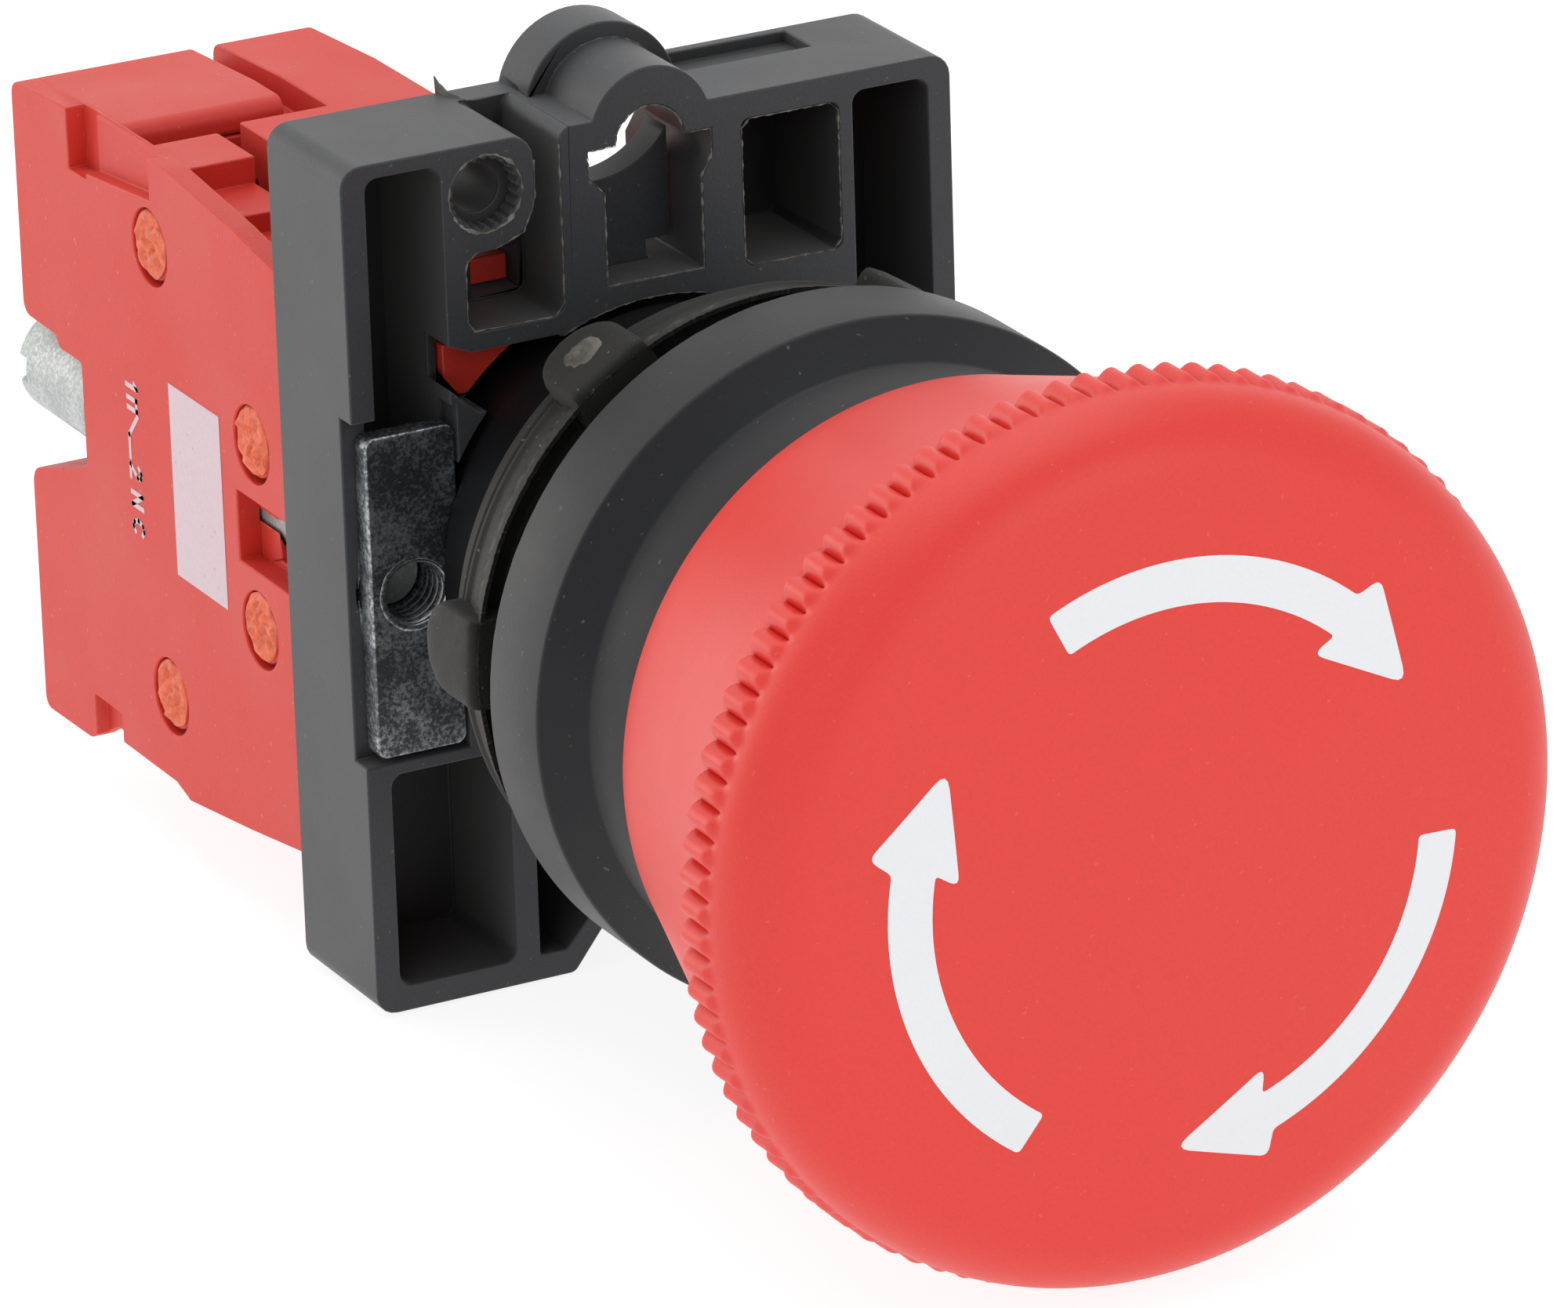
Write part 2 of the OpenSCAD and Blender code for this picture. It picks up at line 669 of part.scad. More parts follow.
// Saddle washers that grip the wires
module wire_clamps() {
    color("#c9ccd0")
    for (z = [term_up_z, term_low_z])
        difference() {
            block([-12.6, 32.0, z - 2.7], [-6.8, 33.0, z + 2.7]);
            rod(term_x, z, 31, 34, 1.8);
        }
}

// Slotted screw with a cylindrical head
module slotted_screw(x, z, tip_y, neck_y, shank_r, top_r, len, slot_w, slot_depth) {
    difference() {
        union() {
            rod(x, z, tip_y, neck_y + 0.1, shank_r);
            rod(x, z, neck_y, neck_y + len, top_r);
        }
        block([x - top_r - 1, neck_y + len - slot_depth, z - slot_w / 2],
              [x + top_r + 1, neck_y + len + 1, z + slot_w / 2]);
    }
}

module terminal_screw(z) {
    color("#c9ccd0") slotted_screw(term_x, z, 29.75, 33.1, 1.6, 2.7, 4.4, 0.8, 1.4);
}

module terminal_screw_upper() { terminal_screw(term_up_z); }

module terminal_screw_lower() { terminal_screw(term_low_z); }

// Long screw that ties the contact block and the collar to the nut plate
module block_screw() {
    dome_r = 3.6;
    color("#c9ccd0")
    difference() {
        union() {
            rod(-screw_offset, plate_z, screw_tip_y, head_y + 0.1, screw_r);
            rod(-screw_offset, plate_z, head_y, head_y + head_len, head_r);
            intersection() {
                translate([-screw_offset, head_y + head_len + 1.5 - dome_r, plate_z])
                    sphere(r = dome_r, $fn = fine);
                rod(-screw_offset, plate_z, head_y + head_len - 0.5, head_y + 20, head_r);
            }
        }
        block([-screw_offset - 4, head_y + head_len - 0.4, plate_z - 0.6],
              [-screw_offset + 4, head_y + head_len + 3, plate_z + 0.6]);
    }
}

// Plunger with a window for the bridge and a pocket for its return spring
module plunger() {
    low = [plunger_x - 2.4, chamber_y + 0.2, plate_z - 2.0];
    high = [plunger_x + 2.4, 36.0, plate_z + 2.0];
    color("#e8e4d8")
    difference() {
        union() {
            rod(plunger_x, plate_z, plunger_tip_y, 23.0, plunger_r);
            block(low, high);
        }
        block([plunger_x - 1.7, 26.6, plate_z - 3], [plunger_x + 1.7, 32.6, plate_z + 3]);
        rod(plunger_x, plate_z, 33.2, 37, 1.6);
    }
}

module contact_bridge() {
    color("#c98f55")
    union() {
        block([plunger_x - 1.6, 26.65, plate_z - 5.1], [plunger_x + 1.6, 27.25, plate_z + 5.1]);
        for (z = [3.7, -4.1]) rod(plunger_x, z, 26.15, 26.8, 1.3);
    }
}

module contact_spring() {
    color("#b9bcc0") translate([plunger_x, 0, plate_z]) coil(27.3, 32.55, 1.3, 0.22, 5, 6, 16);
}

module plunger_spring() {
    color("#b9bcc0") translate([plunger_x, 0, plate_z]) coil(33.25, 41.15, 1.2, 0.2, 6, 6, 16);
}

bezel_ring();
barrel_body();
gasket();
stem_seal();
return_spring();
stem();
pusher_disc();
retaining_clip();
pin_spring();
latch_pin_left();
latch_pin_right();
mushroom_cap();
arrow_inlays();
cap_carrier();
torsion_spring();
mounting_collar();
collar_latch();
nut_plate_left();
nut_plate_right();
block_case();
block_cover();
terminal_lid_upper();
terminal_lid_lower();
contact_upper();
contact_lower();
wire_clamps();
terminal_screw_upper();
terminal_screw_lower();
block_screw();
plunger();
contact_bridge();
contact_spring();
plunger_spring();
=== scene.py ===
"""Looks of the emergency stop button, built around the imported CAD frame."""
import json
import math

import bmesh
import bpy
from mathutils import Matrix, Vector, noise


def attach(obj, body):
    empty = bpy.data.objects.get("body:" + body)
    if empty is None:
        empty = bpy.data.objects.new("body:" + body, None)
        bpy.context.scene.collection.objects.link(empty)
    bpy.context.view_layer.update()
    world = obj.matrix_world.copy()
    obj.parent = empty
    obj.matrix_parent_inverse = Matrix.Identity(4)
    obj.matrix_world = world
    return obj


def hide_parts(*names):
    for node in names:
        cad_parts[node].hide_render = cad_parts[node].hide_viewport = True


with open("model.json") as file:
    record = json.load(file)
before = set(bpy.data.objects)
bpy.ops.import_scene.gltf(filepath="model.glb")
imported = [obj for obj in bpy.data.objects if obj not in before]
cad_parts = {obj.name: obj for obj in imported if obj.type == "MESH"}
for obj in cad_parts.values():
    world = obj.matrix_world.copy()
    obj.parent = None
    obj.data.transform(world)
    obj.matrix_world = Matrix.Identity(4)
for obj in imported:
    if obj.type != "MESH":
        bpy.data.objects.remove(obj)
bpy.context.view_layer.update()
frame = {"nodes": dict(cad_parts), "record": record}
NODES = frame["nodes"]
MM = 0.001
TAU = 2 * math.pi


# ---------------------------------------------------------------- shader helpers

MIDS = (0.3, 0.7)      # most of a noise texture's values lie between these
MIX_FACTOR, MIX_A, MIX_B = 0, 6, 7   # colour sockets of the Mix node
MIX_RESULT = 2
EDGE_GAIN = 3.0


def new_material(name):
    mat = bpy.data.materials.new(name)
    mat.use_nodes = True
    tree = mat.node_tree
    tree.nodes.clear()
    out = tree.nodes.new("ShaderNodeOutputMaterial")
    bsdf = tree.nodes.new("ShaderNodeBsdfPrincipled")
    tree.links.new(bsdf.outputs["BSDF"], out.inputs["Surface"])
    return mat, tree, bsdf


def object_coord(tree):
    return tree.nodes.new("ShaderNodeTexCoord").outputs["Object"]


def add_noise(tree, coord, scale, detail=3.0, rough=0.55, stretch=None):
    vec = coord
    if stretch:
        mapping = tree.nodes.new("ShaderNodeMapping")
        mapping.inputs["Scale"].default_value = stretch
        tree.links.new(coord, mapping.inputs["Vector"])
        vec = mapping.outputs["Vector"]
    node = tree.nodes.new("ShaderNodeTexNoise")
    node.inputs["Scale"].default_value = scale
    node.inputs["Detail"].default_value = detail
    node.inputs["Roughness"].default_value = rough
    tree.links.new(vec, node.inputs["Vector"])
    return node.outputs["Fac"]


def spread(tree, value, lo, hi, out_lo=0.0, out_hi=1.0):
    """Maps lo..hi to out_lo..out_hi, and holds the ends."""
    node = tree.nodes.new("ShaderNodeMapRange")
    node.inputs["From Min"].default_value = lo
    node.inputs["From Max"].default_value = hi
    node.inputs["To Min"].default_value = out_lo
    node.inputs["To Max"].default_value = out_hi
    tree.links.new(value, node.inputs["Value"])
    return node.outputs["Result"]


def mix(tree, fac, a, b):
    """Blends colour a into colour b; each input is a number, a colour or another node's output."""
    node = tree.nodes.new("ShaderNodeMix")
    node.data_type = "RGBA"
    for index, val in ((MIX_FACTOR, fac), (MIX_A, a), (MIX_B, b)):
        sock = node.inputs[index]
        if isinstance(val, bpy.types.NodeSocket):
            tree.links.new(val, sock)
        elif isinstance(val, (int, float)):
            sock.default_value = val
        else:
            sock.default_value = (*val, 1.0)
    return node.outputs[MIX_RESULT]


def combine(tree, operation, a, b):
    """A math node on output a and on b, which is an output or a number."""
    node = tree.nodes.new("ShaderNodeMath")
    node.operation = operation
    tree.links.new(a, node.inputs[0])
    if isinstance(b, bpy.types.NodeSocket):
        tree.links.new(b, node.inputs[1])
    else:
        node.inputs[1].default_value = b
    return node.outputs[0]


def shade(rgb, k):
    return tuple(min(1.0, c * k) for c in rgb)


def edge_mask(tree, radius):
    """Bright where the surface turns sharply, from the difference of a rounded and a true normal."""
    bevel = tree.nodes.new("ShaderNodeBevel")
    bevel.samples = 4
    bevel.inputs["Radius"].default_value = radius
    geo = tree.nodes.new("ShaderNodeNewGeometry")
    dot = tree.nodes.new("ShaderNodeVectorMath")
    dot.operation = "DOT_PRODUCT"
    tree.links.new(bevel.outputs["Normal"], dot.inputs[0])
    tree.links.new(geo.outputs["Normal"], dot.inputs[1])
    return spread(tree, dot.outputs["Value"], 1.0 - 1.0 / EDGE_GAIN, 1.0, 1.0, 0.0)


def openness(tree, reach):
    """1 on open faces, towards 0 deep in pockets and holes; the mask of the painted shade there."""
    node = tree.nodes.new("ShaderNodeAmbientOcclusion")
    node.samples = 6
    node.only_local = True
    node.inputs["Distance"].default_value = reach
    return node.outputs["AO"]


def add_bump(tree, bsdf, height, strength, depth):
    """Bump from a node's output, depth in mm."""
    bump = tree.nodes.new("ShaderNodeBump")
    bump.inputs["Strength"].default_value = strength
    bump.inputs["Distance"].default_value = depth * MM
    tree.links.new(height, bump.inputs["Height"])
    tree.links.new(bump.outputs["Normal"], bsdf.inputs["Normal"])


# ---------------------------------------------------------------- materials

GLOSS_SWING = 0.08     # how far a moulded surface's roughness drifts either way
RUBBED = 0.12 * MM     # width of the rubbed band along a moulded edge


def moulded(name, rgb, rough=0.45, vary=0.12, grain=6500.0, depth=0.008, blotch=90.0, cloudy=0.4,
            dust=0.0, dust_rgb=(0.6, 0.6, 0.58), edge=0.0, edge_rgb=(0.3, 0.3, 0.3),
            spec=0.5, sheen=0.0, pocket_shade=0.0):
    """Moulded plastic or rubber: fine grain, faint clouds, uneven gloss, dust specks, rubbed edges, painted
    shade in pockets.

    depth is the grain's depth and the last argument the reach of the painted shade that darkens pockets,
    both in mm.
    """
    mat, tree, bsdf = new_material(name)
    coord = object_coord(tree)
    cloud = add_noise(tree, coord, blotch, 4.0)
    fine = add_noise(tree, coord, grain, 2.0, 0.6)
    soft = cloudy * vary
    colour = mix(tree, spread(tree, cloud, *MIDS), shade(rgb, 1 - soft), shade(rgb, 1 + soft))
    colour = mix(tree, spread(tree, fine, *MIDS, 0.0, 0.5), colour, shade(rgb, 1 - 1.6 * vary))
    if edge > 0:
        patchy = add_noise(tree, coord, 1400.0, 3.0)
        amount = spread(tree, patchy, 0.4, 0.65, 0.1 * edge, edge)
        colour = mix(tree, combine(tree, "MULTIPLY", edge_mask(tree, RUBBED), amount), colour, edge_rgb)
    if dust > 0:
        specks = add_noise(tree, coord, grain * 0.55, 1.0, 0.4)
        colour = mix(tree, spread(tree, specks, 0.74, 0.8, 0.0, dust), colour, dust_rgb)
    # painted shade: the colour darkens to a tenth deep in pockets and holes
    if pocket_shade > 0:
        colour = mix(tree, spread(tree, openness(tree, pocket_shade * MM), 0.3, 0.8), shade(rgb, 0.1), colour)
    tree.links.new(colour, bsdf.inputs["Base Color"])
    gloss = spread(tree, cloud, *MIDS, rough - GLOSS_SWING, rough + GLOSS_SWING)
    tree.links.new(gloss, bsdf.inputs["Roughness"])
    bsdf.inputs["Specular IOR Level"].default_value = spec
    if sheen > 0:
        bsdf.inputs["Sheen Weight"].default_value = sheen
        bsdf.inputs["Sheen Roughness"].default_value = 0.6
        bsdf.inputs["Sheen Tint"].default_value = (1.0, 0.97, 0.93, 1.0)
    add_bump(tree, bsdf, fine, 1.0, depth)
    return mat


def metal(name, rgb, dark=0.5, edge=0.6, edge_rgb=(0.8, 0.82, 0.82)):
    """Plated or drawn metal: uneven passivation, fine scratches, bright rubbed edges."""
    rough = 0.3
    mat, tree, bsdf = new_material(name)
    coord = object_coord(tree)
    cloud = add_noise(tree, coord, 420.0, 6.0, 0.68)
    scratch = add_noise(tree, coord, 900.0, 4.0, 0.6, (1.0, 1.0, 7.0))
    colour = mix(tree, spread(tree, cloud, 0.38, 0.62), shade(rgb, dark), rgb)
    colour = mix(tree, spread(tree, scratch, 0.45, 0.75, 0.0, 0.3), colour, edge_rgb)
    colour = mix(tree, combine(tree, "MULTIPLY", edge_mask(tree, 0.1 * MM), edge), colour, edge_rgb)
    tree.links.new(colour, bsdf.inputs["Base Color"])
    bsdf.inputs["Metallic"].default_value = 1.0
    tree.links.new(spread(tree, cloud, *MIDS, rough + 0.14, rough - 0.06), bsdf.inputs["Roughness"])
    add_bump(tree, bsdf, scratch, 0.7, 0.01)
    return mat


def speckled(name, dark_rgb, light_rgb, rough=0.38, metallic=0.9):
    """Zinc plating: dark and pale specks gathered in patches, rubbed bright edges, and painted shade deep in
    holes.
    """
    bright = (0.68, 0.70, 0.68)
    mat, tree, bsdf = new_material(name)
    coord = object_coord(tree)
    patches = add_noise(tree, coord, 420.0, 5.0, 0.65)
    specks = add_noise(tree, coord, 5200.0, 3.0, 0.7)
    both = combine(tree, "ADD", spread(tree, patches, 0.35, 0.72, -0.12, 0.16), specks)
    colour = mix(tree, spread(tree, both, 0.42, 0.72), dark_rgb, light_rgb)
    rubbed = spread(tree, edge_mask(tree, 0.14 * MM), 0.0, 1.0, 0.0, 0.8)
    colour = mix(tree, rubbed, colour, bright)
    # painted shade: the colour darkens towards a dim copy of the dark specks deep in holes
    hole_shade = spread(tree, openness(tree, 3.0 * MM), 0.15, 0.45)
    colour = mix(tree, hole_shade, shade(dark_rgb, 0.15), colour)
    tree.links.new(colour, bsdf.inputs["Base Color"])
    bsdf.inputs["Metallic"].default_value = metallic
    tree.links.new(spread(tree, specks, *MIDS, rough + 0.12, rough - 0.08), bsdf.inputs["Roughness"])
    add_bump(tree, bsdf, specks, 0.8, 0.01)
    return mat


MAT = {
    "cap_red": moulded("cap_red", (0.76, 0.036, 0.024), rough=0.42, vary=0.10, dust=0.15,
                       dust_rgb=(0.85, 0.3, 0.25), blotch=70, cloudy=0.15),
    "arrow_white": moulded("arrow_white", (0.78, 0.79, 0.81), rough=0.42, vary=0.03),
    "block_red": moulded("block_red", (0.65, 0.035, 0.021), rough=0.5, vary=0.11, dust=0.25, cloudy=0.15,
                         dust_rgb=(0.85, 0.4, 0.33), edge=0.75, edge_rgb=(0.84, 0.20, 0.09), spec=0.4,
                         sheen=0.03),
    "bezel_black": moulded("bezel_black", (0.0055, 0.0065, 0.0095), rough=0.5, vary=0.4, dust=0.5,
                           cloudy=0.2, dust_rgb=(0.12, 0.12, 0.11), edge=0.15,
                           edge_rgb=(0.06, 0.06, 0.06), spec=0.26, sheen=0.1),
    # the collar's last argument paints shade into its pockets, reaching 7 mm
    "collar_black": moulded("collar_black", (0.0225, 0.0250, 0.0305), rough=0.55, vary=0.4, dust=0.4,
                            cloudy=0.2, dust_rgb=(0.16, 0.15, 0.13), edge=0.35,
                            edge_rgb=(0.12, 0.11, 0.09), spec=0.45, sheen=0.16, pocket_shade=7.0),
    "inner_black": moulded("inner_black", (0.005, 0.005, 0.006), rough=0.5, vary=0.1, spec=0.3),
    "gasket_rubber": moulded("gasket_rubber", (0.013, 0.012, 0.0108), rough=0.6, vary=0.4, dust=0.4,
                             depth=0.015, dust_rgb=(0.25, 0.24, 0.21), edge=0.5,
                             edge_rgb=(0.14, 0.125, 0.10), spec=0.2, sheen=0.06),
    "natural_plastic": moulded("natural_plastic", (0.55, 0.52, 0.45), rough=0.4, vary=0.05),
    "zinc_plate": speckled("zinc_plate", (0.07, 0.078, 0.09), (0.52, 0.55, 0.56)),
    "screw_steel": speckled("screw_steel", (0.40, 0.43, 0.42), (0.62, 0.65, 0.64), rough=0.5,
                            metallic=0.5),
    "spring_steel": metal("spring_steel", (0.55, 0.56, 0.58), dark=0.7, edge=0.0),
    "contact_copper": metal("contact_copper", (0.72, 0.45, 0.27), dark=0.6, edge_rgb=(0.85, 0.7, 0.55)),
    "flash": moulded("flash", (0.17, 0.16, 0.135), rough=0.6, vary=0.5, blotch=900, cloudy=1.0),
    "scar": moulded("scar", (0.13, 0.115, 0.092), rough=0.6, vary=0.6, grain=2600, depth=0.06,
                    blotch=1300, cloudy=1.3),
    "melted": moulded("melted", (0.88, 0.15, 0.06), rough=0.5, vary=0.3, grain=4200, depth=0.06,
                      blotch=1600, cloudy=0.7),
    "print_white": moulded("print_white", (0.66, 0.52, 0.56), rough=0.6, vary=0.08, dust=0.8,
                           dust_rgb=(0.6, 0.2, 0.18)),
}
SLOT_OF = {row["node"]: row["material_slot"] for row in frame["record"]["subparts"]}


# ---------------------------------------------------------------- mesh helpers

def smooth(mesh, angle):
    mesh.shade_smooth()
    mesh.set_sharp_from_angle(angle=math.radians(angle))


def piece(name, bm, mat, body, replaces=(), angle=32, fix=True):
    """Turns a bmesh, in metres in the row frame, into a piece that rides on a body."""
    if fix:
        bmesh.ops.recalc_face_normals(bm, faces=bm.faces)
    mesh = bpy.data.meshes.new(name)
    bm.to_mesh(mesh)
    bm.free()
    obj = bpy.data.objects.new(name, mesh)
    bpy.context.scene.collection.objects.link(obj)
    mesh.materials.append(MAT[mat])
    smooth(mesh, angle)
    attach(obj, body)
    if replaces:
        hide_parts(*replaces)
    return obj


def circle_points(cx, cy, rad, angles):
    """Points of a circle at the given angles in degrees, 0 towards the first axis."""
    turns = [math.radians(t) for t in angles]
    return [(cx + rad * math.cos(a), cy + rad * math.sin(a)) for a in turns]


def arc(cr, cy, rad, a0, a1, n):
    """Points of an arc in the (r, y) plane; angles in degrees, 0 is +r and 90 is +y."""
    return circle_points(cr, cy, rad, [a0 + (a1 - a0) * i / n for i in range(n + 1)])


def lathe(profile, segments, radius_at=None, closed=True):
    """Revolves (r, y) points, in mm, about the Y axis. radius_at(i, r, y, angle) may change a point."""
    bm = bmesh.new()
    rings = []
    for i, (r, y) in enumerate(profile):
        if r < 1e-6:
            rings.append([bm.verts.new((0, y * MM, 0))])
            continue
        ring = []
        for k in range(segments):
            a = TAU * k / segments
            rr, yy = (r, y) if radius_at is None else radius_at(i, r, y, a)
            ring.append(bm.verts.new((rr * math.cos(a) * MM, yy * MM, rr * math.sin(a) * MM)))
        rings.append(ring)
    count = len(rings) if closed else len(rings) - 1
    for i in range(count):
        a, b = rings[i], rings[(i + 1) % len(rings)]
        for k in range(segments):
            k2 = (k + 1) % segments
            if len(a) == 1 and len(b) == 1:
                continue
            if len(a) == 1:
                bm.faces.new((a[0], b[k], b[k2]))
            elif len(b) == 1:
                bm.faces.new((a[k], b[0], a[k2]))
            else:
                bm.faces.new((a[k], b[k], b[k2], a[k2]))
    return bm


def skin(bm, rows, closed=False):
    """Joins rows of equal length into a tube, and fills its ends unless it closes on itself."""
    across = len(rows[0])
    last = len(rows) if closed else len(rows) - 1
    for i in range(last):
        a, b = rows[i], rows[(i + 1) % len(rows)]
        for k in range(across):
            k2 = (k + 1) % across
            bm.faces.new((a[k], b[k], b[k2], a[k2]))
    if not closed:
        bm.faces.new(rows[0])
        bm.faces.new(list(reversed(rows[-1])))


def round_patch(rings, around, place):
    """A patch of rings about a middle point; place(i, angle) gives the points of ring i."""
    bm = bmesh.new()
    rows = [[bm.verts.new(place(0, 0.0))]]
    for i in range(1, rings):
        rows.append([bm.verts.new(place(i, TAU * k / around)) for k in range(around)])
    for i in range(1, rings):
        for k in range(around):
            k2 = (k + 1) % around
            if i == 1:
                bm.faces.new((rows[0][0], rows[1][k], rows[1][k2]))
            else:
                bm.faces.new((rows[i - 1][k], rows[i][k], rows[i][k2], rows[i - 1][k2]))
    return bm


# ---------------------------------------------------------------- rounded copies of CAD nodes

WELD = 0.002           # corners closer than this become one
FLAT_ANGLE = 0.3       # faces that meet within this many degrees become one
SHARP_ANGLE = 35       # edges that turn by more than this many degrees are rounded
SHORT_EDGE = 0.03      # edges shorter than this stay sharp
FACE_ROOM = 2.2        # widths of rounding that a face beside a rounded edge has to hold


def roomy(edge, room):
    """True where both faces beside an edge have room, by area over length: a thin ring still passes."""
    length = edge.calc_length()
    return length > SHORT_EDGE * MM and all(f.calc_area() / length > room for f in edge.link_faces)


def refine(node, bevel, nudge=None, skip=None):
    """Copies a CAD node, rounds its sharp edges by bevel in mm, and lets the copy stand for it."""
    slot = SLOT_OF[node]
    bm = bmesh.new()
    bm.from_mesh(NODES[node].data)
    bmesh.ops.remove_doubles(bm, verts=bm.verts, dist=WELD * MM)
    bmesh.ops.dissolve_limit(bm, angle_limit=math.radians(FLAT_ANGLE), verts=bm.verts, edges=bm.edges)
    bmesh.ops.recalc_face_normals(bm, faces=bm.faces)
    if nudge:
        for v in bm.verts:
            nudge(v.co)
    sharp = [e for e in bm.edges
             if len(e.link_faces) == 2 and e.calc_face_angle(0) > math.radians(SHARP_ANGLE)
             and roomy(e, FACE_ROOM * bevel * MM) and not (skip and all(skip(v.co) for v in e.verts))]
    bmesh.ops.bevel(bm, geom=sharp, offset=bevel * MM, offset_type="OFFSET", segments=2,
                    profile=0.5, affect="EDGES", clamp_overlap=False)
    body = next(b for b, members in frame["record"]["behaviour"]["bodies"].items() if node in members)
    obj = piece("look_" + node, bm, slot, body, (node,), angle=40, fix=False)
    even = obj.modifiers.new("even_normals", "WEIGHTED_NORMAL")
    even.mode = "FACE_AREA"
    even.weight = 100
    even.keep_sharp = True


def meet_cover(co):
    """Moves a terminal lid's outer end to the block's cover."""
    if co.x < -13.75 * MM:
        co.x = -13.9 * MM


def inner_side(co):
    """True on the inner side of the block's cover, whose thin wall is left with sharp edges."""
    return co.x > -14.1 * MM


def refine_nodes():
    for name, bevel in (("mounting_collar", 0.1), ("collar_latch", 0.06), ("nut_plate_left", 0.12),
                        ("nut_plate_right", 0.12), ("block_case", 0.1), ("block_screw", 0.12)):
        refine(name, bevel)
    refine("block_cover", 0.08, skip=inner_side)
    for name in ("terminal_lid_upper", "terminal_lid_lower"):
        refine(name, 0.08, nudge=meet_cover)


# ---------------------------------------------------------------- mushroom cap

FACE_Y = -40.2         # crown of the domed face
DOME_R = 111.0         # radius of the dome
RIM_R = 19.7           # outer radius of the shoulder
SHOULDER = 3.5         # radius of the rounding between the face and the ribbed side
RIB_END_Y = -33.25
RIBS = 96
RIB_ROOT = 19.34
RIB_CREST = 19.97


def dome_y(r):
    return FACE_Y + DOME_R - math.sqrt(DOME_R * DOME_R - r * r)


def rib_radius(t, y, a):
    """Radius of the ribbed side; t runs from 0 at the shoulder to 1 at the ribs' end."""
    root = RIB_ROOT + 0.34 * max(0.0, 1 - t / 0.24) ** 1.3
    turn = a * RIBS / TAU
    phase = turn % 1.0 - 0.5
    bead = max(0.0, 1 - 4 * phase * phase) ** 0.72
    uneven = 0.05 * noise.noise(Vector((int(turn) * 3.7, y * 2.0, 0.0)))
    rise = min(1.0, t / 0.2)
    fall = min(1.0, (1 - t) / 0.10)
    fade = math.sin(rise * math.pi / 2) ** 0.8 * math.sin(fall * math.pi / 2) ** 0.6
    return root + (RIB_CREST - root) * max(0.0, bead + uneven - 0.03) * fade


def build_cap():
    lean = math.asin((RIM_R - SHOULDER) / (DOME_R - SHOULDER))
    centre_r = RIM_R - SHOULDER
    centre_y = FACE_Y + DOME_R - (DOME_R - SHOULDER) * math.cos(lean)
    profile = [(r, dome_y(r)) for r in (0, 2, 4, 6, 8, 10, 11.5, 13, 14.5)]
    steps = 14
    for i in range(steps + 1):
        a = lean + (math.radians(88) - lean) * i / steps
        profile.append((centre_r + SHOULDER * math.sin(a), centre_y - SHOULDER * math.cos(a)))
    front = profile[-1][1]
    height = RIB_END_Y - front
    first = len(profile)
    profile += [(19.25, front + height * t)
                for t in (0.07, 0.14, 0.22, 0.32, 0.45, 0.6, 0.74, 0.84, 0.91, 0.96, 1.0)]
    last = len(profile) - 1
    # the cone behind the ribs, its rear lip, and the hollow inside
    profile += [(19.2 - 4.1 * t, RIB_END_Y + 14.25 * t) for t in (0.03, 0.08, 0.3, 0.6, 0.9)]
    profile += arc(14.9, -18.98, 0.2, 10, 90, 3)
    profile += [(14.6, -18.8), (14.5, -18.9)]
    profile += [(17.4, -33.4), (17.6, -35.8), (15.6, -37.0), (0, -38.0)]

    def ribbed(i, r, y, a):
        if not first <= i <= last:
            return r, y
        return rib_radius((y - front) / height, y, a), y

    bm = lathe(profile, RIBS * 12, ribbed, closed=False)
    piece("cap_shell", bm, "cap_red", "cap", ("mushroom_cap",), angle=50)


def arrow_points():
    """One arrow's outline as (x, z) points in mm: a shaft bent round the axis, and its head."""
    mid, half_shaft, half_head = 12.5, 0.97, 2.1
    tail, neck, tip = 115.2, 49.2, 28.0
    steps = 28

    def side(rad, start, stop):
        return circle_points(0, 0, rad, [start + (stop - start) * i / steps for i in range(steps + 1)])

    out = side(mid + half_shaft, tail, neck)
    for rad, angle in ((mid + half_head, neck - 2.4), (mid, tip), (mid - half_head, neck + 2.6)):
        out += circle_points(0, 0, rad, [angle])
    return out + side(mid - half_shaft, neck, tail)


def round_corners(pts, rad):
    """Rounds the corners of a closed outline, and leaves its slight bends."""
    slight_turn = 25
    steps = 4
    most = 0.45        # of the side beside a corner
    out = []
    n = len(pts)
    for i in range(n):
        a, b, c = (Vector(pts[(i + k - 1) % n]) for k in range(3))
        u, v = (a - b), (c - b)
        turn = math.degrees(math.pi - u.angle(v))
        if turn < slight_turn:
            out.append(tuple(b))
            continue
        cut = min(rad / math.tan(math.radians((180 - turn) / 2)), u.length * most, v.length * most)
        p, q = b + u.normalized() * cut, b + v.normalized() * cut
        for k in range(steps + 1):
            t = k / steps
            out.append(tuple(p * (1 - t) ** 2 + b * 2 * t * (1 - t) + q * t * t))
    return out


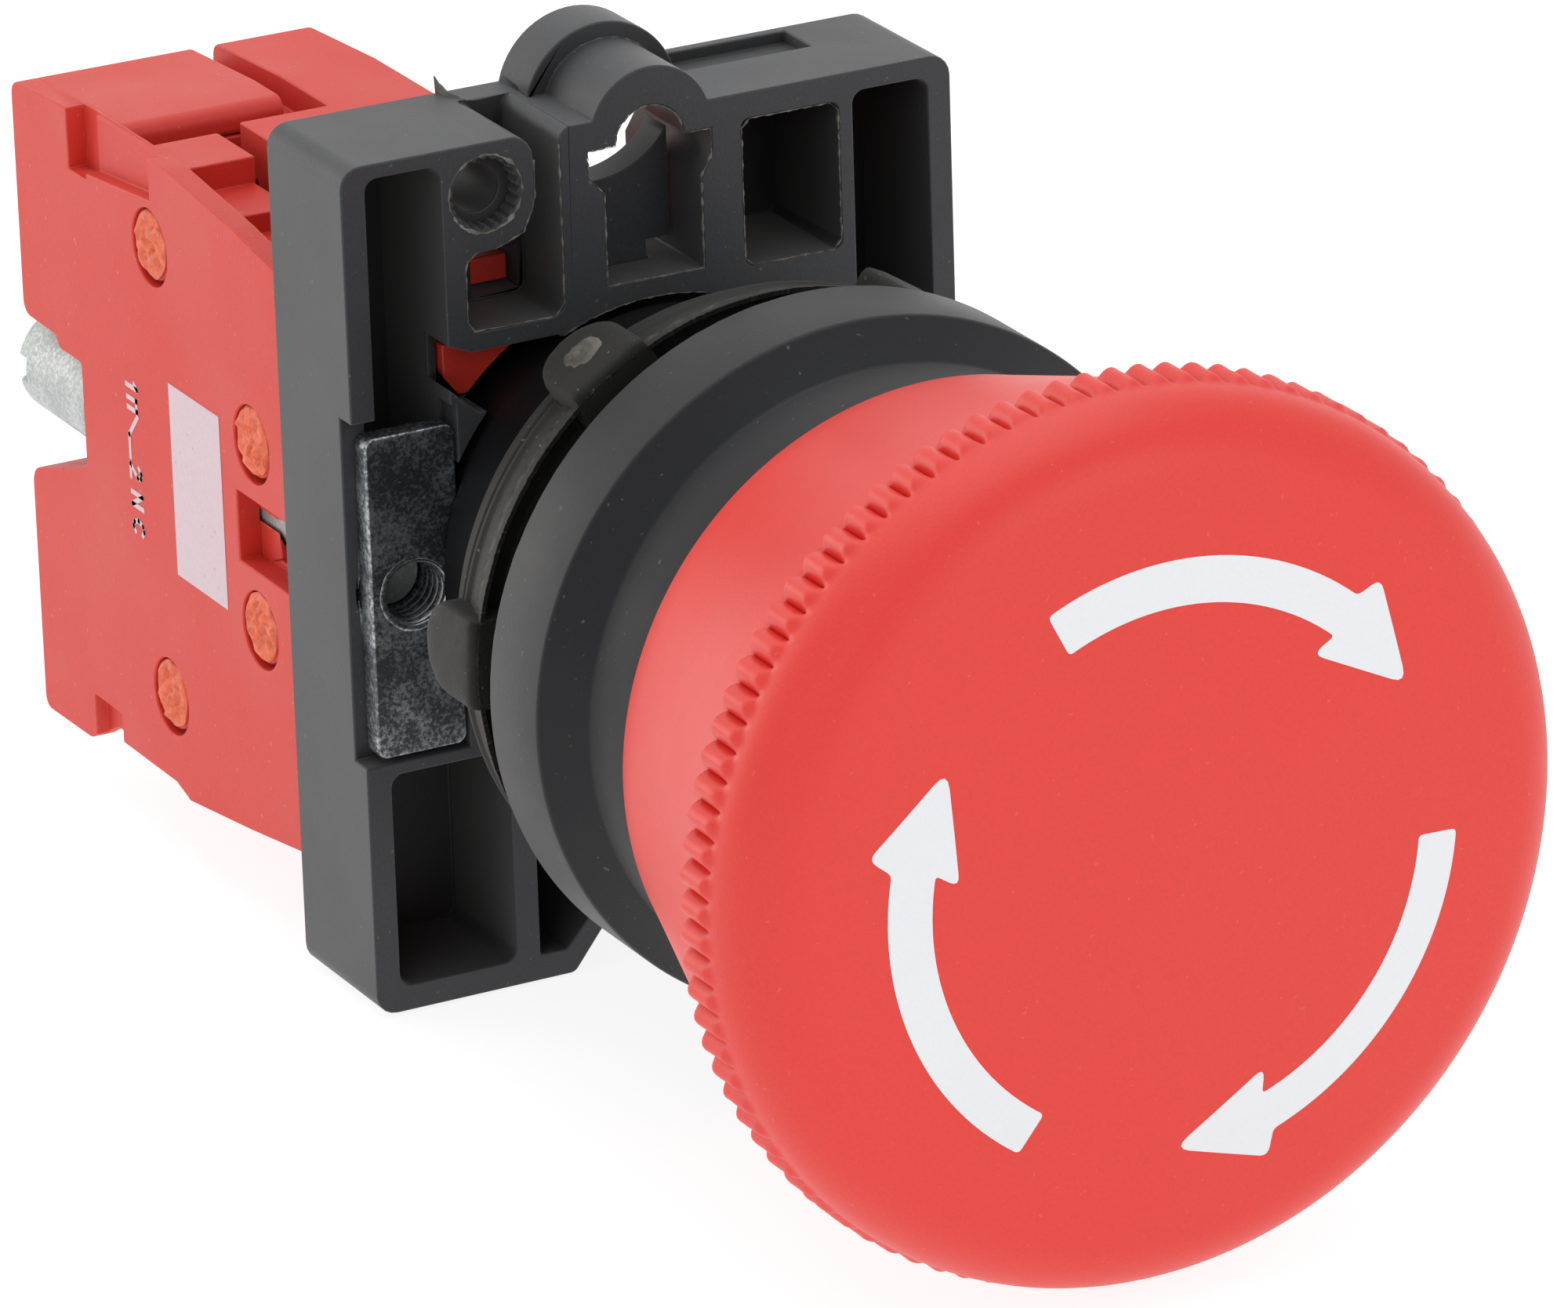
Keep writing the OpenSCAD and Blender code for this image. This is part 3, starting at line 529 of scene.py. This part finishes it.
def build_arrows():
    stand_off, depth = 0.012, 0.5
    outline = round_corners(arrow_points(), 0.4)
    bm = bmesh.new()
    for turn in (0, 120, 240):
        rot = Matrix.Rotation(math.radians(-turn), 2)
        rim = [rot @ Vector(p) for p in outline]
        verts = [bm.verts.new((p.x * MM, 0, p.y * MM)) for p in rim]
        edges = [bm.edges.new((verts[i], verts[(i + 1) % len(verts)])) for i in range(len(verts))]
        bmesh.ops.triangle_fill(bm, edges=edges, use_beauty=True)
    bmesh.ops.subdivide_edges(bm, edges=bm.edges[:], cuts=2, use_grid_fill=True)
    top = bm.faces[:]
    for v in bm.verts:
        v.co.y = (dome_y(math.hypot(v.co.x, v.co.z) / MM) - stand_off) * MM
    res = bmesh.ops.extrude_face_region(bm, geom=top)
    for v in [g for g in res["geom"] if isinstance(g, bmesh.types.BMVert)]:
        v.co.y += depth * MM
    piece("face_arrows", bm, "arrow_white", "cap", ("arrow_inlays",), angle=30)


# ---------------------------------------------------------------- bezel and gasket

NUB_ANGLES = (2, 58, 122, 178)
SCARRED_NUB = 2        # the nub, counted from 0, with the mark of the mould's gate


def build_bezel():
    profile = [(14.95, -7.75)] + arc(15.65, -7.85, 0.15, 90, 0, 3)
    profile += arc(15.45, -12.1, 0.35, 0, -50, 5)
    profile += [(15.45, -12.55), (14.2, -13.84), (14.12, -13.93), (14.1, -14.1), (14.1, -21.0)]
    profile += [(14.0, -21.2), (12.7, -21.2), (12.62, -21.1), (12.62, -10.5), (14.95, -10.5)]
    rear_points = 4    # the rear edge is slightly rough

    def rough(i, r, y, a):
        if i < rear_points:
            r += 0.012 * noise.noise(Vector((40 * math.cos(a), 40 * math.sin(a), i * 0.3)))
            y += 0.02 * noise.noise(Vector((50 * math.cos(a), 50 * math.sin(a), 3.0)))
        return r, y

    bm = lathe(profile, 256, rough)
    piece("bezel", bm, "bezel_black", "head", ("bezel_ring",), angle=40)


def build_gasket():
    profile = [(10.74, -10.35), (13.4, -10.35), (13.4, -3.6), (14.6, -3.6), (14.64, -4.66), (14.87, -4.7),
               (14.84, -4.45), (14.7, -4.3), (14.6, -3.8), (14.42, -3.1), (14.25, -2.45)]
    profile += [(14.34, -2.32), (14.37, -2.1), (14.25, -1.93), (13.93, -1.75), (13.86, -1.4), (13.97, -1.28)]
    profile += [(13.96, -1.08), (13.78, -0.9), (13.7, -0.4), (13.55, -0.06), (13.3, 0.0), (10.74, 0.0)]
    lip = range(3, 6)  # points of the ragged front lip

    def ragged(i, r, y, a):
        if i not in lip:
            return r, y
        wide = Vector((26 * math.cos(a), 26 * math.sin(a), 0))
        fine = Vector((90 * math.cos(a), 90 * math.sin(a), 5))
        n = 0.6 * noise.noise(wide) + 0.6 * noise.noise(fine) + 0.4 * noise.noise(fine * 2.1)
        return r + 0.05 * n, y - 0.16 * max(0.0, n) + 0.05 * noise.noise(fine * 2)

    bm = lathe(profile, 960, ragged)
    piece("rubber_gasket", bm, "gasket_rubber", "head", ("gasket",), angle=50)
    for index, angle in enumerate(NUB_ANGLES):
        build_nub(index, math.radians(angle))
        if index == SCARRED_NUB:
            build_gate_scar(math.radians(angle))


def beside_axis(height, side, y, a):
    """A point at a height above the Y axis and a step to the side, seen from angle a round it."""
    return Vector(((height * math.cos(a) - side * math.sin(a)) * MM, y * MM,
                   (height * math.sin(a) + side * math.cos(a)) * MM))


def nub_outline():
    """(side, y) points round a nub: a half circle at the rear, straight sides and a flat front."""
    half, centre, length = 2.13, -2.17, 2.5
    out = circle_points(0, centre, half, range(0, 181, 6))
    out += [(-half, centre - length * k / 8) for k in range(1, 8)] + [(-half + 0.1, -4.7)]
    out += [(-half + 2 * half * k / 12, -4.72) for k in range(1, 12)]
    out += [(half - 0.1, -4.7)] + [(half, -4.67 + length * k / 8) for k in range(1, 8)]
    return out


def build_nub(index, a):
    """One pillow-shaped nub on the gasket, as its outline in layers that shrink towards the top."""
    middle = -2.55
    surface_r = 14     # layers above this radius are lumpy
    layers = ((13.2, 1.0), (14.3, 1.0), (14.75, 0.995), (15.02, 0.96), (15.15, 0.89), (15.2, 0.78),
              (15.22, 0.55), (15.23, 0.28))
    outline = nub_outline()
    bm = bmesh.new()
    rows = []
    for r, scale in layers:
        row = []
        for side, y in outline:
            side, y = side * scale, middle + (y - middle) * scale
            lump = 0.035 * noise.noise(Vector((side * 1.6, y * 1.6, r + index * 9)))
            row.append(bm.verts.new(beside_axis(r + lump if r > surface_r else r, side, y, a)))
        rows.append(row)
    for low, high in zip(rows, rows[1:]):
        for k in range(len(outline)):
            k2 = (k + 1) % len(outline)
            bm.faces.new((low[k], low[k2], high[k2], high[k]))
    bm.faces.new(rows[-1])
    bm.faces.new(list(reversed(rows[0])))
    piece("gasket_nub_%d" % index, bm, "gasket_rubber", "head", angle=60)


def build_gate_scar(a):
    """The torn mark that the mould's gate leaves on a nub."""
    rings = 12
    rad, nub_top = 1.05, 15.22

    def place(i, b):
        out = i / (rings - 1)
        uneven = 1 + 0.28 * noise.noise(Vector((math.cos(b) * 2, math.sin(b) * 2, 7)))
        reach = rad * i / (rings - 1) * uneven
        side, y = reach * math.cos(b), -2.3 + reach * math.sin(b)
        inner = 1 - out ** 4
        lump = abs(noise.noise(Vector((side * 2.6, y * 2.6, 4))))
        lump += 0.5 * abs(noise.noise(Vector((side * 7, y * 7, 8))))
        return beside_axis(nub_top + inner * (0.04 + 0.3 * lump) - 0.1 * (1 - inner), side, y, a)

    piece("gate_scar", round_patch(rings, 22, place), "scar", "head", angle=60)


# ---------------------------------------------------------------- contact block details

STAKES = ((27.6, 10.3), (17.5, 3.9), (17.5, -5.0), (27.8, -11.6))   # (y, z) of the heat stakes
PRINT_X = -15.012      # just outside the block's side
PRINT_WIDTH = 0.25


def build_stake(index, cy, cz):
    """The melted head of a heat stake: a lumpy disc whose rim turns down into the cover."""
    rim_ring = 9
    rim_x = (-14.86, -14.4, -14.0)

    def place(i, b):
        uneven = 1 + 0.07 * noise.noise(Vector((2 * math.cos(b), 2 * math.sin(b), index * 3.0)))
        rad = 1.6 * min(1.0, i / rim_ring) * uneven
        y, z = cy + 0.13 + rad * math.cos(b), cz + 0.13 + rad * math.sin(b)
        n = noise.noise(Vector((y * 1.9, z * 1.9, index * 5.0)))
        n += 0.7 * noise.noise(Vector((y * 6.5, z * 3.2, 3.0)))
        x = rim_x[i - rim_ring] if i >= rim_ring else -14.95 - 0.3 * n * (1 - (rad / 1.7) ** 6)
        return Vector((x * MM, y * MM, z * MM))

    bm = round_patch(rim_ring + len(rim_x), 40, place)
    piece("heat_stake_%d" % index, bm, "melted", "collar", angle=60)


def build_stakes():
    for index, (cy, cz) in enumerate(STAKES):
        build_stake(index, cy, cz)


def stroke(bm, pts, width):
    """A thin printed line through (y, z) points on the block's side."""
    for (y0, z0), (y1, z1) in zip(pts, pts[1:]):
        d = Vector((y1 - y0, z1 - z0)).normalized() * width / 2
        n = Vector((-d.y, d.x))
        corners = [(y0 - d.x + n.x, z0 - d.y + n.y), (y0 - d.x - n.x, z0 - d.y - n.y),
                   (y1 + d.x - n.x, z1 + d.y - n.y), (y1 + d.x + n.x, z1 + d.y + n.y)]
        bm.faces.new([bm.verts.new((PRINT_X * MM, y * MM, z * MM)) for y, z in corners])


def glyph(bm, points, z0):
    """A printed mark from (along, up) points; it reads downwards and its top looks to the front."""
    base, height = 31.0, 1.15
    stroke(bm, [(base - height * v, z0 - u) for u, v in points], PRINT_WIDTH)


def build_prints():
    """The plain patch, and the generic contact mark: 1, the sign of a closed contact, 2, N, C."""
    bm = bmesh.new()
    stroke(bm, [(23.6, 1.5), (23.6, -2.4)], 5.4)
    piece("plain_label", bm, "print_white", "collar")
    bm = bmesh.new()
    glyph(bm, [(-0.2, 0.75), (0, 1), (0, 0)], 2.75)
    stroke(bm, [(30.95, 2.15), (30.0, 2.15), (30.0, 1.65), (30.95, 1.65)], PRINT_WIDTH)
    stroke(bm, [(29.95, 1.4), (30.95, 0.3), (30.95, -0.8)], PRINT_WIDTH)
    glyph(bm, [(0, 0.8), (0.2, 1), (0.45, 0.95), (0.5, 0.65), (0, 0), (0.6, 0)], -1.15)
    glyph(bm, [(0, 0), (0, 1), (0.6, 0), (0.6, 1)], -2.5)
    glyph(bm, [(0.6, 0.85), (0.4, 1), (0.15, 0.9), (0, 0.5), (0.15, 0.1), (0.4, 0), (0.6, 0.15)], -3.8)
    piece("contact_symbol", bm, "print_white", "collar")


# ---------------------------------------------------------------- flash, burrs and threads

FLASH_Y = 6.6          # just in front of the collar's front face
ARCH_Y = 6.64 + 4.55   # the face round the arch, set back from the front
HOLE_X, HOLE_Z = -8.1, 17.6          # middle of the fluted hole
SAMPLE = 0.12          # step along a ridge of flash


def ribbon(name, outline, y, width, closed, lift, seed):
    """A thin ragged ridge along (x, z) points on a face that looks towards -Y."""
    pts = []
    n = len(outline)
    for i in range(n if closed else n - 1):
        a, b = Vector(outline[i]), Vector(outline[(i + 1) % n])
        count = max(1, int((b - a).length / SAMPLE))
        pts += [a.lerp(b, k / count) for k in range(count)]
    if not closed:
        pts.append(Vector(outline[-1]))
    bm = bmesh.new()
    rows = []
    for i, p in enumerate(pts):
        before = pts[i - 1] if i > 0 or closed else p
        after = pts[(i + 1) % len(pts)] if i + 1 < len(pts) or closed else p
        d = after - before
        side = Vector((-d.y, d.x)).normalized() if d.length > 0 else Vector((0, 1))
        q = Vector((p.x * 3.1, p.y * 3.1, seed))
        w = width * max(0.06, 0.35 + 1.5 * noise.noise(q))
        h = lift * (0.2 + 1.8 * abs(noise.noise(q * 2.3))) * min(1.0, w / width + 0.1)
        shift = 0.25 * width * noise.noise(q * 1.7)
        row = []
        for s, dy in ((-0.5, 0.06), (-0.35, -h), (0.3, -0.7 * h), (0.5, 0.06)):
            v = p + side * (s * w + shift)
            row.append(bm.verts.new((v.x * MM, (y + dy) * MM, v.y * MM)))
        rows.append(row)
    skin(bm, rows, closed)
    piece(name, bm, "flash", "collar", angle=60)


def build_flash():
    """Ragged ridges round the collar's openings, where the mould's halves met."""
    house = [(-2.3, 12.2), (2.5, 12.2), (2.5, 16.5), (3.05, 17.4), (3.05, 18.6), (1.7, 18.6)]
    house += circle_points(0, 18.5, 1.7, range(10, 176, 10))
    house += [(-1.7, 18.6), (-3.05, 18.6), (-3.05, 17.4), (-2.3, 16.5)]
    ribbon("flash_house", house, FLASH_Y, 0.14, True, 0.04, 1.0)
    window = [(-5.7, 18.7), (-5.7, 17.0), (-6.3, 15.5), (-7.7, 15.0), (-8.6, 15.0), (-9.1, 14.6),
              (-9.2, 14.2), (-9.2, 11.8), (-8.9, 11.35), (-4.9, 11.3), (-4.45, 11.9), (-4.45, 19.2)]
    ribbon("flash_window", window, FLASH_Y, 0.12, False, 0.03, 4.0)
    side_window = [(4.95, 18.7), (9.0, 18.7), (9.4, 18.3), (9.4, 12.25), (9.0, 11.85), (4.95, 11.85),
                   (4.55, 12.25), (4.55, 18.3)]
    ribbon("flash_side_window", side_window, FLASH_Y, 0.13, True, 0.05, 12.0)
    arch = circle_points(0.1, 19.0, 3.04, range(12, 166, 6))
    ribbon("flash_arch", arch, ARCH_Y, 0.12, False, 0.03, 15.0)
    bore = circle_points(0, 0, 11.32, range(52, 115, 2))
    ribbon("flash_bore", bore, FLASH_Y, 0.14, False, 0.04, 7.0)
    hole = circle_points(HOLE_X, HOLE_Z, 1.8, range(0, 360, 15))
    ribbon("flash_hole", hole, FLASH_Y, 0.2, True, 0.05, 9.0)


def build_burr():
    """A curl of flash standing on the collar's top face."""
    steps = 12
    foot, top = 19.7, 19.95
    bm = bmesh.new()
    rows = []
    for k in range(steps + 1):
        t = k / steps
        y = 12.4 + 1.6 * t
        x = -6.15 - 0.55 * t + 0.06 * math.sin(9 * t)
        h = 0.06 + 0.5 * t ** 1.8 if k < steps else 0.8
        section = ((x - 0.13, foot), (x - 0.03 - 0.2 * h, top + h), (x + 0.03 - 0.2 * h, top + h),
                   (x + 0.13, foot))
        rows.append([bm.verts.new((vx * MM, y * MM, vz * MM)) for vx, vz in section])
    skin(bm, rows)
    piece("burr", bm, "flash", "collar", angle=60)


def build_flutes():
    """The fluted wall of the small hole beside the tower."""
    flutes = 22
    profile = [(1.78, 6.66), (1.64, 6.68), (1.6, 6.9), (1.6, 7.56), (1.78, 7.58)]
    last = len(profile) - 1

    def fluted(i, r, y, a):
        return r + (0.07 * math.cos(flutes * a) if 0 < i < last else 0), y

    bm = lathe(profile, flutes * 8, fluted)
    for v in bm.verts:
        v.co.x += HOLE_X * MM
        v.co.z += HOLE_Z * MM
    piece("hole_flutes", bm, "collar_black", "collar", angle=50)


def build_thread(name, x, end):
    """The burr pushed up round a nut plate's hole, and helical ridges on the hole's wall."""
    profile = [(1.5, 6.66), (1.54, 6.6), (1.63, 6.57), (1.74, 6.58), (1.82, 6.62), (1.85, 6.64)]
    last = len(profile) - 1
    start, pitch, per_turn = 6.64, 0.5, 48

    def pushed_up(i, r, y, a):
        wide = 0.04 * noise.noise(Vector((3 * math.cos(a), 3 * math.sin(a), r + x)))
        high = 0.02 * noise.noise(Vector((4 * math.cos(a), 4 * math.sin(a), x))) if 0 < i < last else 0
        return r + wide, y + high

    bm = lathe(profile, 72, pushed_up)
    turns = (end - start) / pitch
    rows = []
    for k in range(int(turns * per_turn)):
        a = TAU * k / per_turn
        y = start + pitch * k / per_turn
        row = []
        for r, dy in ((1.505, -0.19), (1.37, -0.02), (1.37, 0.03), (1.505, 0.2)):
            row.append(bm.verts.new((r * math.cos(a) * MM, (y + dy) * MM, r * math.sin(a) * MM)))
        rows.append(row)
    skin(bm, rows)
    for v in bm.verts:
        v.co.x += x * MM
        v.co.z -= 0.2 * MM
    piece("thread_" + name, bm, "zinc_plate", "collar", angle=45)


def build_threads():
    for name, x, end in (("left", -12.3, 9.1), ("right", 12.3, 10.0)):
        build_thread(name, x, end)


build_cap()
build_arrows()
build_bezel()
build_gasket()
build_stakes()
build_prints()
build_flash()
build_burr()
build_flutes()
build_threads()
refine_nodes()
for name, obj in NODES.items():
    obj.data.materials.clear()
    obj.data.materials.append(MAT[SLOT_OF[name]])


# ---------------------------------------------------------------- stage, in metres

FLOOR_Z = -0.0201
LENS = 252.0
CAMERA_AT = (-0.2052, -0.4037, 0.1712)
CAMERA_RIGHT = (0.88361, -0.46729, -0.02951)
CAMERA_BACK = (-0.42673, -0.82963, 0.36002)
SKY = (0.97, 0.985, 1.0, 1)


def build_stage():
    """A white floor that curves up into a backdrop behind the object."""
    start, bend, half_width, top = 1.6, 0.8, 4.0, 3.5
    section = [(-3.0, 0.0), (start, 0.0)]
    section += [(start + bend * math.sin(math.radians(t)), bend - bend * math.cos(math.radians(t)))
                for t in range(10, 91, 10)]
    section += [(start + bend, top)]
    bm = bmesh.new()
    rows = []
    for y, z in section:
        rows.append([bm.verts.new((x, y, z + FLOOR_Z)) for x in (-half_width, half_width)])
    for a, b in zip(rows, rows[1:]):
        bm.faces.new((a[0], a[1], b[1], b[0]))
    mesh = bpy.data.meshes.new("floor")
    bm.to_mesh(mesh)
    bm.free()
    floor = bpy.data.objects.new("floor", mesh)
    bpy.context.scene.collection.objects.link(floor)
    mesh.shade_smooth()
    mat, tree, bsdf = new_material("floor")
    bsdf.inputs["Base Color"].default_value = (0.25, 0.25, 0.25, 1)
    bsdf.inputs["Emission Color"].default_value = (1, 1, 1, 1)
    bsdf.inputs["Emission Strength"].default_value = 0.86
    bsdf.inputs["Roughness"].default_value = 0.8
    mesh.materials.append(mat)


def area(name, position, size, power, rgb=(1, 1, 1)):
    """A rectangular light that faces the object."""
    data = bpy.data.lights.new(name, "AREA")
    data.shape = "RECTANGLE"
    data.size, data.size_y = size
    data.energy = power
    data.color = rgb
    obj = bpy.data.objects.new(name, data)
    obj.location = position
    obj.rotation_euler = (-Vector(position)).to_track_quat("-Z", "Y").to_euler()
    bpy.context.scene.collection.objects.link(obj)


def build_lights():
    world = bpy.data.worlds.new("world")
    world.use_nodes = True
    background = world.node_tree.nodes["Background"]
    background.inputs["Color"].default_value = SKY
    background.inputs["Strength"].default_value = 0.72
    bpy.context.scene.world = world
    bpy.context.scene.view_settings.view_transform = "Standard"
    area("side_glow", (-0.45, 0.6, 0.12), (0.5, 0.4), 1.0, (1.0, 0.93, 0.84))
    area("key_left", (-0.6, -0.45, 0.35), (0.4, 0.4), 0.2)
    area("front", (0.25, -0.7, 0.3), (0.5, 0.5), 0.9, (1.0, 0.98, 0.95))
    area("top", (0.0, 0.1, 0.7), (0.7, 0.7), 1.8, (0.95, 0.98, 1.0))


def build_camera():
    """The photograph's viewpoint, solved from the cap's rim, the bezel and the collar's corners."""
    data = bpy.data.cameras.new("camera")
    data.sensor_width = 36.0
    data.lens = LENS
    data.clip_start = 0.01
    data.clip_end = 20.0
    obj = bpy.data.objects.new("camera", data)
    right = Vector(CAMERA_RIGHT)
    back = Vector(CAMERA_BACK)
    back.normalize()
    right = (right - back * right.dot(back)).normalized()
    up = back.cross(right)
    rot = Matrix((right, up, back)).transposed()
    obj.matrix_world = Matrix.Translation(CAMERA_AT) @ rot.to_4x4()
    bpy.context.scene.collection.objects.link(obj)
    bpy.context.scene.camera = obj


build_stage()
build_camera()
build_lights()
